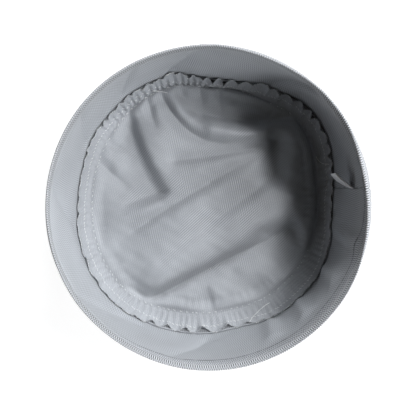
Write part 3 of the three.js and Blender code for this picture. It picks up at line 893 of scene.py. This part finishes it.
# Slant in degrees and pitch of the specks on a wall and of the outside's twill, and the strengths of
# the lines that slant each way
WALL_SPECKS = (8, 1.3, 0.75, 0.5)
TWILL = (27, 1.25, 0.6, 0.3)
# Darkest and palest colour of each cloth
LINING_TONES = ((0.095, 0.098, 0.104, 1), (0.49, 0.505, 0.53, 1))
SUITING_TONES = ((0.012, 0.012, 0.013, 1), (0.56, 0.57, 0.59, 1))
THREAD_TONES = ((0.62, 0.62, 0.62, 1), (0.86, 0.86, 0.85, 1))
SATIN_TONES = ((0.80, 0.81, 0.82, 1), (0.97, 0.97, 0.97, 1))


class Value:
    """Output of a shader node, for sums and products with other outputs and with numbers."""

    def __init__(self, shader, socket):
        self.shader = shader
        self.socket = socket

    def __add__(self, other):
        return self.shader.math("ADD", self, other)

    def __sub__(self, other):
        return self.shader.math("SUBTRACT", self, other)

    def __rsub__(self, other):
        return self.shader.math("SUBTRACT", other, self)

    def __mul__(self, other):
        return self.shader.math("MULTIPLY", self, other)


class Shader:
    """Nodes of one material, with short ways to add them."""

    def __init__(self, name):
        self.material = bpy.data.materials.new(name)
        self.material.use_nodes = True
        self.tree = self.material.node_tree
        self.tree.nodes.clear()
        self.surface = self.tree.nodes.new("ShaderNodeBsdfPrincipled")
        output = self.tree.nodes.new("ShaderNodeOutputMaterial")
        self.tree.links.new(self.surface.outputs[0], output.inputs["Surface"])

    def feed(self, socket, value):
        if isinstance(value, Value):
            self.tree.links.new(value.socket, socket)
        else:
            socket.default_value = value

    def node(self, kind, settings, inputs, output=0):
        """Output of a new node, with its settings made and its inputs fed by name or place."""
        node = self.tree.nodes.new(kind)
        for name, value in settings.items():
            setattr(node, name, value)
        for name, value in inputs.items():
            self.feed(node.inputs[name], value)
        return Value(self, node.outputs[output])

    def math(self, operation, first, second=0.0):
        return self.node("ShaderNodeMath", {"operation": operation}, {0: first, 1: second})

    def mix(self, factor, first, second):
        return self.node("ShaderNodeMix", {"data_type": "RGBA"}, {0: factor, 6: first, 7: second}, 2)

    def noise(self, vector, scale, detail=2.0, roughness=0.5):
        inputs = {"Vector": vector, "Scale": scale, "Detail": detail, "Roughness": roughness}
        return self.node("ShaderNodeTexNoise", {}, inputs)

    def ramp(self, value, low, high, start=0.0, end=1.0):
        """Smooth change from start to end while the value goes from low to high."""
        inputs = dict(enumerate((value, low, high, start, end)))
        return self.node("ShaderNodeMapRange", {"interpolation_type": "SMOOTHSTEP"}, inputs)

    def cloth(self):
        """Place on the cloth in millimetres: the vector, and its two parts."""
        vector = self.node("ShaderNodeUVMap", {"uv_map": "cloth"}, {})
        u, v = (self.node("ShaderNodeSeparateXYZ", {}, {"Vector": vector}, part) for part in (0, 1))
        return vector, u, v

    def wave(self, u, v, degrees, pitch, shift=0.0):
        """Sine wave across the cloth. Its lines run at right angles to the given direction."""
        turn = math.radians(degrees)
        across = u * math.cos(turn) + v * math.sin(turn)
        return self.math("SINE", across * (FULL_TURN / pitch) + shift)

    def facing(self, u, v, side):
        """1 where a band's cloth lies towards one side of the cap, and -1 opposite."""
        return self.wave(u, v, 0, FULL_TURN * BAND_RADIUS, math.radians(SEAM_ANGLE + 90 - side))

    def finish(self, height=None, distance=0.0, strength=1.0, **values):
        """The material, with the surface's values set and bumps of a height in metres."""
        if height is not None:
            inputs = {"Height": height, "Distance": distance, "Strength": strength}
            self.feed(self.surface.inputs["Normal"], self.node("ShaderNodeBump", {}, inputs))
        for name, value in values.items():
            self.feed(self.surface.inputs[name.replace("_", " ")], value)
        return self.material


def crossed(shader, u, v, slant, pitch, main, counter):
    """Lines that slant both ways. The small slant on a wall draws its specks long, because the camera
    sees the wall nearly on edge."""
    return shader.wave(u, v, slant, pitch) * main + shader.wave(u, v, -slant, pitch) * counter


def lining_finish(shader, vector, weave, more_tone, weave_height):
    """Lining with a weave, fibres and soft patches, lighter or darker by some more tone."""
    fibre = shader.noise(vector, 1.6, 3.0, 0.65)
    cloud = shader.noise(vector, 0.03, 3.0)
    tone = weave + fibre * 0.5 + cloud * 0.22 + more_tone
    colour = shader.mix(shader.ramp(tone, -0.25, 1.0), *LINING_TONES)
    return shader.finish(weave * weave_height + fibre, 0.00015, 0.8, Base_Color=colour, Roughness=0.66,
                         Sheen_Weight=0.1, Sheen_Roughness=0.5, Specular_IOR_Level=0.45)


def crown_lining_material():
    """Light grey lining with a fine twill that shows most near the middle of the cloth."""
    shader = Shader("crown_twill")
    vector, u, v = shader.cloth()
    rib = shader.wave(u, v, degrees=12, pitch=1.4)
    check = shader.wave(u, v, degrees=133, pitch=1.35)
    where = shader.ramp(shader.noise(vector, 0.022, 1.0), 0.42, 0.62)
    near = shader.ramp(shader.math("SQRT", u * u + v * v), 30.0, 75.0, 1.0, 0.3)
    patchy = shader.ramp(shader.noise(vector, 0.05), 0.35, 0.7, 0.35, 1.0)
    weave = (rib * (1.0 - where) + check * where) * (near * patchy) * 0.24
    return lining_finish(shader, vector, weave, 0.0, 1.5)


def band_lining_material(top_place):
    """Lining of the wall. top_place is the place of its top along the cloth. Towards one side it has a
    slightly darker, more speckled strip below the hem that ends in a dashed painted shadow line, the
    shade under the hem's edge."""
    shader = Shader("band_twill")
    vector, u, v = shader.cloth()
    patchy = shader.ramp(shader.noise(vector, 0.05), 0.35, 0.7, 0.5, 1.0)
    side = shader.facing(u, v, SHADOW_LINE_SIDE)
    shown = shader.ramp(side, 0.1, 0.6)
    below = v - side * SHADOW_LINE_DROP - top_place
    strip = shader.ramp(below, -0.8, 0.8, 1.0, 0.0) * shown
    # Painted shadow: a dashed dark line where the hem's edge shades the lining, shown towards one side
    shadow_line = shader.ramp(below, -1.3, 0.0) * shader.ramp(below, 0.0, 1.3, 1.0, 0.0)
    dashes = shader.ramp(shader.noise(vector, 0.35), 0.38, 0.6, 0.25, 1.0)
    weave = crossed(shader, u, v, *WALL_SPECKS) * (patchy * shader.ramp(strip, 0.0, 1.0, 0.26, 0.6))
    # The strip is slightly darker cloth, and the line added to it is painted shadow
    strip_and_shadow = strip * 0.04 + shadow_line * dashes * (shown * 0.9)
    return lining_finish(shader, vector, weave, 0.06 - strip_and_shadow, 1.0)


def suiting_material(rim_place):
    """Fine suiting of dark and pale threads, which reads as grey with dark specks in slanting rows.
    rim_place is the place of the rim along the band's cloth. Towards one side its specks show more, the
    hem is painted lighter as painted light, and the hem's edge carries a painted shadow line."""
    shader = Shader("suiting")
    vector, u, v = shader.cloth()
    outside = crossed(shader, u, v, *TWILL)
    hem = shader.ramp(v, rim_place - 1.0, rim_place + 1.5)
    # edge marks the hem's last millimetre before its lower edge, where a painted shadow goes
    edge = shader.ramp(v, rim_place + HEM_DEPTH - 1.2, rim_place + HEM_DEPTH - 0.2)
    side = shader.facing(u, v, HEM_SIDE)
    show = shader.ramp(shader.noise(vector, 0.03), 0.35, 0.68, 0.7, 1.0)
    strength = show * shader.ramp(side, -0.4, 0.6, 0.5, 1.0)
    weave = (outside * (1.0 - hem) + crossed(shader, u, v, *WALL_SPECKS) * hem) * strength
    fibre = shader.noise(vector, 1.9, 3.0, 0.7)
    # Painted light: the hem's colour is made lighter towards one side of the cap
    tone = weave * 0.55 + fibre * 0.6 + hem * shader.ramp(side, 0.0, 1.0, -0.02, 0.15)
    # Painted shadow: the hem's edge is made darker towards one side, as shade along that edge
    tone = tone - edge * shader.ramp(side, -0.4, 0.5, 0.1, 0.35)
    colour = shader.mix(shader.ramp(tone, -0.3, 0.95), *SUITING_TONES)
    return shader.finish(weave * 0.6 + fibre, 0.00015, 0.7, Base_Color=colour, Roughness=0.85,
                         Sheen_Weight=0.1, Sheen_Roughness=0.5, Specular_IOR_Level=0.25)


def thread_material():
    """White cotton thread with a soft twist."""
    shader = Shader("white_thread")
    fibre = shader.noise(shader.node("ShaderNodeTexCoord", {}, {}, "Object"), 2600.0)
    colour = shader.mix(fibre, *THREAD_TONES)
    return shader.finish(fibre, 0.00005, 0.5, Base_Color=colour, Roughness=0.6, Sheen_Weight=0.2,
                         Sheen_Roughness=0.4)


def satin_material():
    """White satin ribbon with fine crosswise threads."""
    shader = Shader("white_satin")
    vector, u, v = shader.cloth()
    tone = shader.wave(u, v, 0, 0.55) * 0.25 + shader.noise(vector, 1.2)
    colour = shader.mix(shader.ramp(tone, 0.2, 0.9), *SATIN_TONES)
    return shader.finish(tone, 0.00006, 0.5, Base_Color=colour, Roughness=0.38, Sheen_Weight=0.15,
                         Sheen_Roughness=0.3)


# Pale stage, and the colour and strength with which each of its parts glows
STAGE_RADIUS = 3000
STAGE_SIDES = 64
STAGE_LEVEL = -0.05
STAGE_TOP = 1250
STAGE_COLOUR = (0.25, 0.25, 0.25, 1)
FLOOR_GLOW = ((1, 1, 1, 1), 0.85)
BACKDROP_GLOW = ((1.0, 0.95, 0.89, 1), 0.3)


def add_stage_part(name, places, faces, glow_colour, glow):
    """Very pale plain paper that glows a little, so that it keeps only a faint shadow."""
    mesh = bpy.data.meshes.new(name)
    mesh.from_pydata((places * MM).tolist(), [], faces)
    mesh.materials.append(Shader(f"pale_{name}").finish(
        Base_Color=STAGE_COLOUR, Roughness=0.9, Emission_Color=glow_colour, Emission_Strength=glow,
    ))
    add_object(name, mesh)


def add_stage():
    """Round pale floor and the low pale wall round it, far behind the cap."""
    ring = heading(evenly(STAGE_SIDES)) * STAGE_RADIUS
    low = np.column_stack([ring, np.full(STAGE_SIDES, STAGE_LEVEL)])
    high = np.column_stack([ring, np.full(STAGE_SIDES, STAGE_TOP)])
    wall = ring_faces(2, STAGE_SIDES).tolist()
    add_stage_part("floor", low, [tuple(range(STAGE_SIDES))], *FLOOR_GLOW)
    add_stage_part("backdrop", np.concatenate([low, high]), wall, *BACKDROP_GLOW)


# Photograph's view: the camera hangs almost straight over the cap
CAMERA_AT = Vector((-13.4, 18.9, 530))
CAMERA_AIM = Vector((1.9, -3.0, 8))
FRAME_WIDTH = 416
FOCAL_PIXELS = 770.3
SENSOR_WIDTH = 36


def looking(place, aim, up=Vector((0, 1, 0))):
    """Matrix of something at a place, in millimetres, that faces a point with -Z."""
    back = (place - aim).normalized()
    right = up.cross(back).normalized()
    above = back.cross(right)
    turn = Matrix((right, above, back)).transposed().to_4x4()
    return Matrix.Translation(place * MM) @ turn


def add_camera():
    data = bpy.data.cameras.new("camera")
    data.sensor_width = SENSOR_WIDTH
    data.lens = FOCAL_PIXELS / FRAME_WIDTH * SENSOR_WIDTH
    data.clip_start = 0.01
    data.clip_end = 10
    camera = add_object("camera", data)
    camera.matrix_world = looking(CAMERA_AT, CAMERA_AIM)
    bpy.context.scene.camera = camera


# Point that the lights face, and the colours of daylight, skylight and the warmer light of the room
LIGHT_AIM = Vector((0, 0, 40))
DAYLIGHT = (0.965, 0.98, 1.0)
SKYLIGHT = (0.93, 0.965, 1.0)
WARM_LIGHT = (1.0, 0.86, 0.72)
WORLD_COLOUR = (1.0, 0.88, 0.72, 1)
WORLD_STRENGTH = 0.04

# One row for each light: direction, elevation, distance, width, power and colour. A wide window
# stands to the right, so it is made of several lights.
LIGHTS = (
    ("key_right", 13, 60, 2000, 300, 15.5, DAYLIGHT),
    ("key_left", 35, 60, 2000, 300, 16.1, DAYLIGHT),
    ("window_far_right", 300, 30, 1600, 500, 8.6, SKYLIGHT),
    ("window_right", 325, 36, 1600, 600, 9.3, SKYLIGHT),
    ("window_near_right", 350, 38, 1600, 600, 3.8, SKYLIGHT),
    ("window_middle", 15, 38, 1600, 900, 4.2, SKYLIGHT),
    ("window_near_left", 45, 38, 1600, 600, 6.2, SKYLIGHT),
    ("window_left", 75, 36, 1600, 600, 21.9, SKYLIGHT),
    ("far_fill", 178, 12, 1600, 2200, 1.0, WARM_LIGHT),
)


def add_light(name, azimuth, elevation, distance, size, power, colour):
    """Round soft light in one direction from the cap."""
    data = bpy.data.lights.new(name, "AREA")
    data.shape = "DISK"
    data.size = size * MM
    data.energy = power
    data.color = colour
    rise = math.radians(elevation)
    flat = heading(azimuth) * math.cos(rise)
    place = LIGHT_AIM + distance * Vector((*flat, math.sin(rise)))
    add_object(name, data).matrix_world = looking(place, LIGHT_AIM)


def add_surroundings():
    world = bpy.data.worlds.new("studio")
    world.use_nodes = True
    background = world.node_tree.nodes["Background"]
    background.inputs["Color"].default_value = WORLD_COLOUR
    background.inputs["Strength"].default_value = WORLD_STRENGTH
    bpy.context.scene.world = world
    bpy.context.scene.view_settings.view_transform = "Standard"
    for row in LIGHTS:
        add_light(*row)


# Each cloth's node, its slot, and how it was cut and is held. Flat sizes are metres.
CLOTHS = {
    "outer_band_cloth": ("outer_band", "suiting", dict(flat=(0.589, 0.12), held="folded")),
    "band_lining_cloth": ("inner_band", "lining", dict(flat=(0.575, 0.105), held="folded")),
    "outer_crown_cloth": ("outer_crown", "suiting", dict(flat=(0.157, 0.157), area=0.0194, held="laid")),
    "crown_lining_cloth": (
        "crown_lining", "lining", dict(flat=(0.187, 0.187), area=0.0275, held="gathered"),
    ),
    "label_tab": ("label", "label", dict(flat=(0.0165, 0.013), held="folded")),
}

# Rows of stitches on the crown lining's allowance: the share of its width where each lies, how far it
# is moved inwards, and its stitches' pitch, length, radius, slant and seed
STITCH_ROWS = (
    ("crown_seam_stitches", 0.05, 1.3, 2.3, 1.45, 0.13, 0.12, 31),
    ("edge_stitches", 0.55, 0.0, 2.4, 1.5, 0.12, 0.35, 32),
)

crown_twill = crown_lining_material()
thread = thread_material()
satin = satin_material()

angles = band_angles()
outer_sections = outer_band(angles)
rim_point = outer_sections[..., 1].mean(axis=0).argmax()
suiting = suiting_material(float(lengths_along(outer_sections)[rim_point]))
lining_sections = band_lining(angles)
band_twill = band_lining_material(float(lengths_along(lining_sections)[1]))
pieces = {
    "outer_band_cloth": band_piece("outer_band_cloth", angles, outer_sections, suiting),
    "band_lining_cloth": band_piece("band_lining_cloth", angles, lining_sections, band_twill),
    "outer_crown_cloth": outer_crown(suiting),
    "crown_lining_cloth": crown_lining(crown_twill),
    "label_tab": label_piece(satin),
}
for name, (node, slot, cut) in CLOTHS.items():
    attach(pieces[name], "root")
    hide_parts(node)

threads = [stitch_row(*row, thread) for row in STITCH_ROWS]
threads.append(fray("edge_fray", 33, thread))
threads += loose_threads([pieces["crown_lining_cloth"], pieces["band_lining_cloth"]], thread)
for piece in threads:
    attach(piece, "root")

add_stage()
add_camera()
add_surroundings()
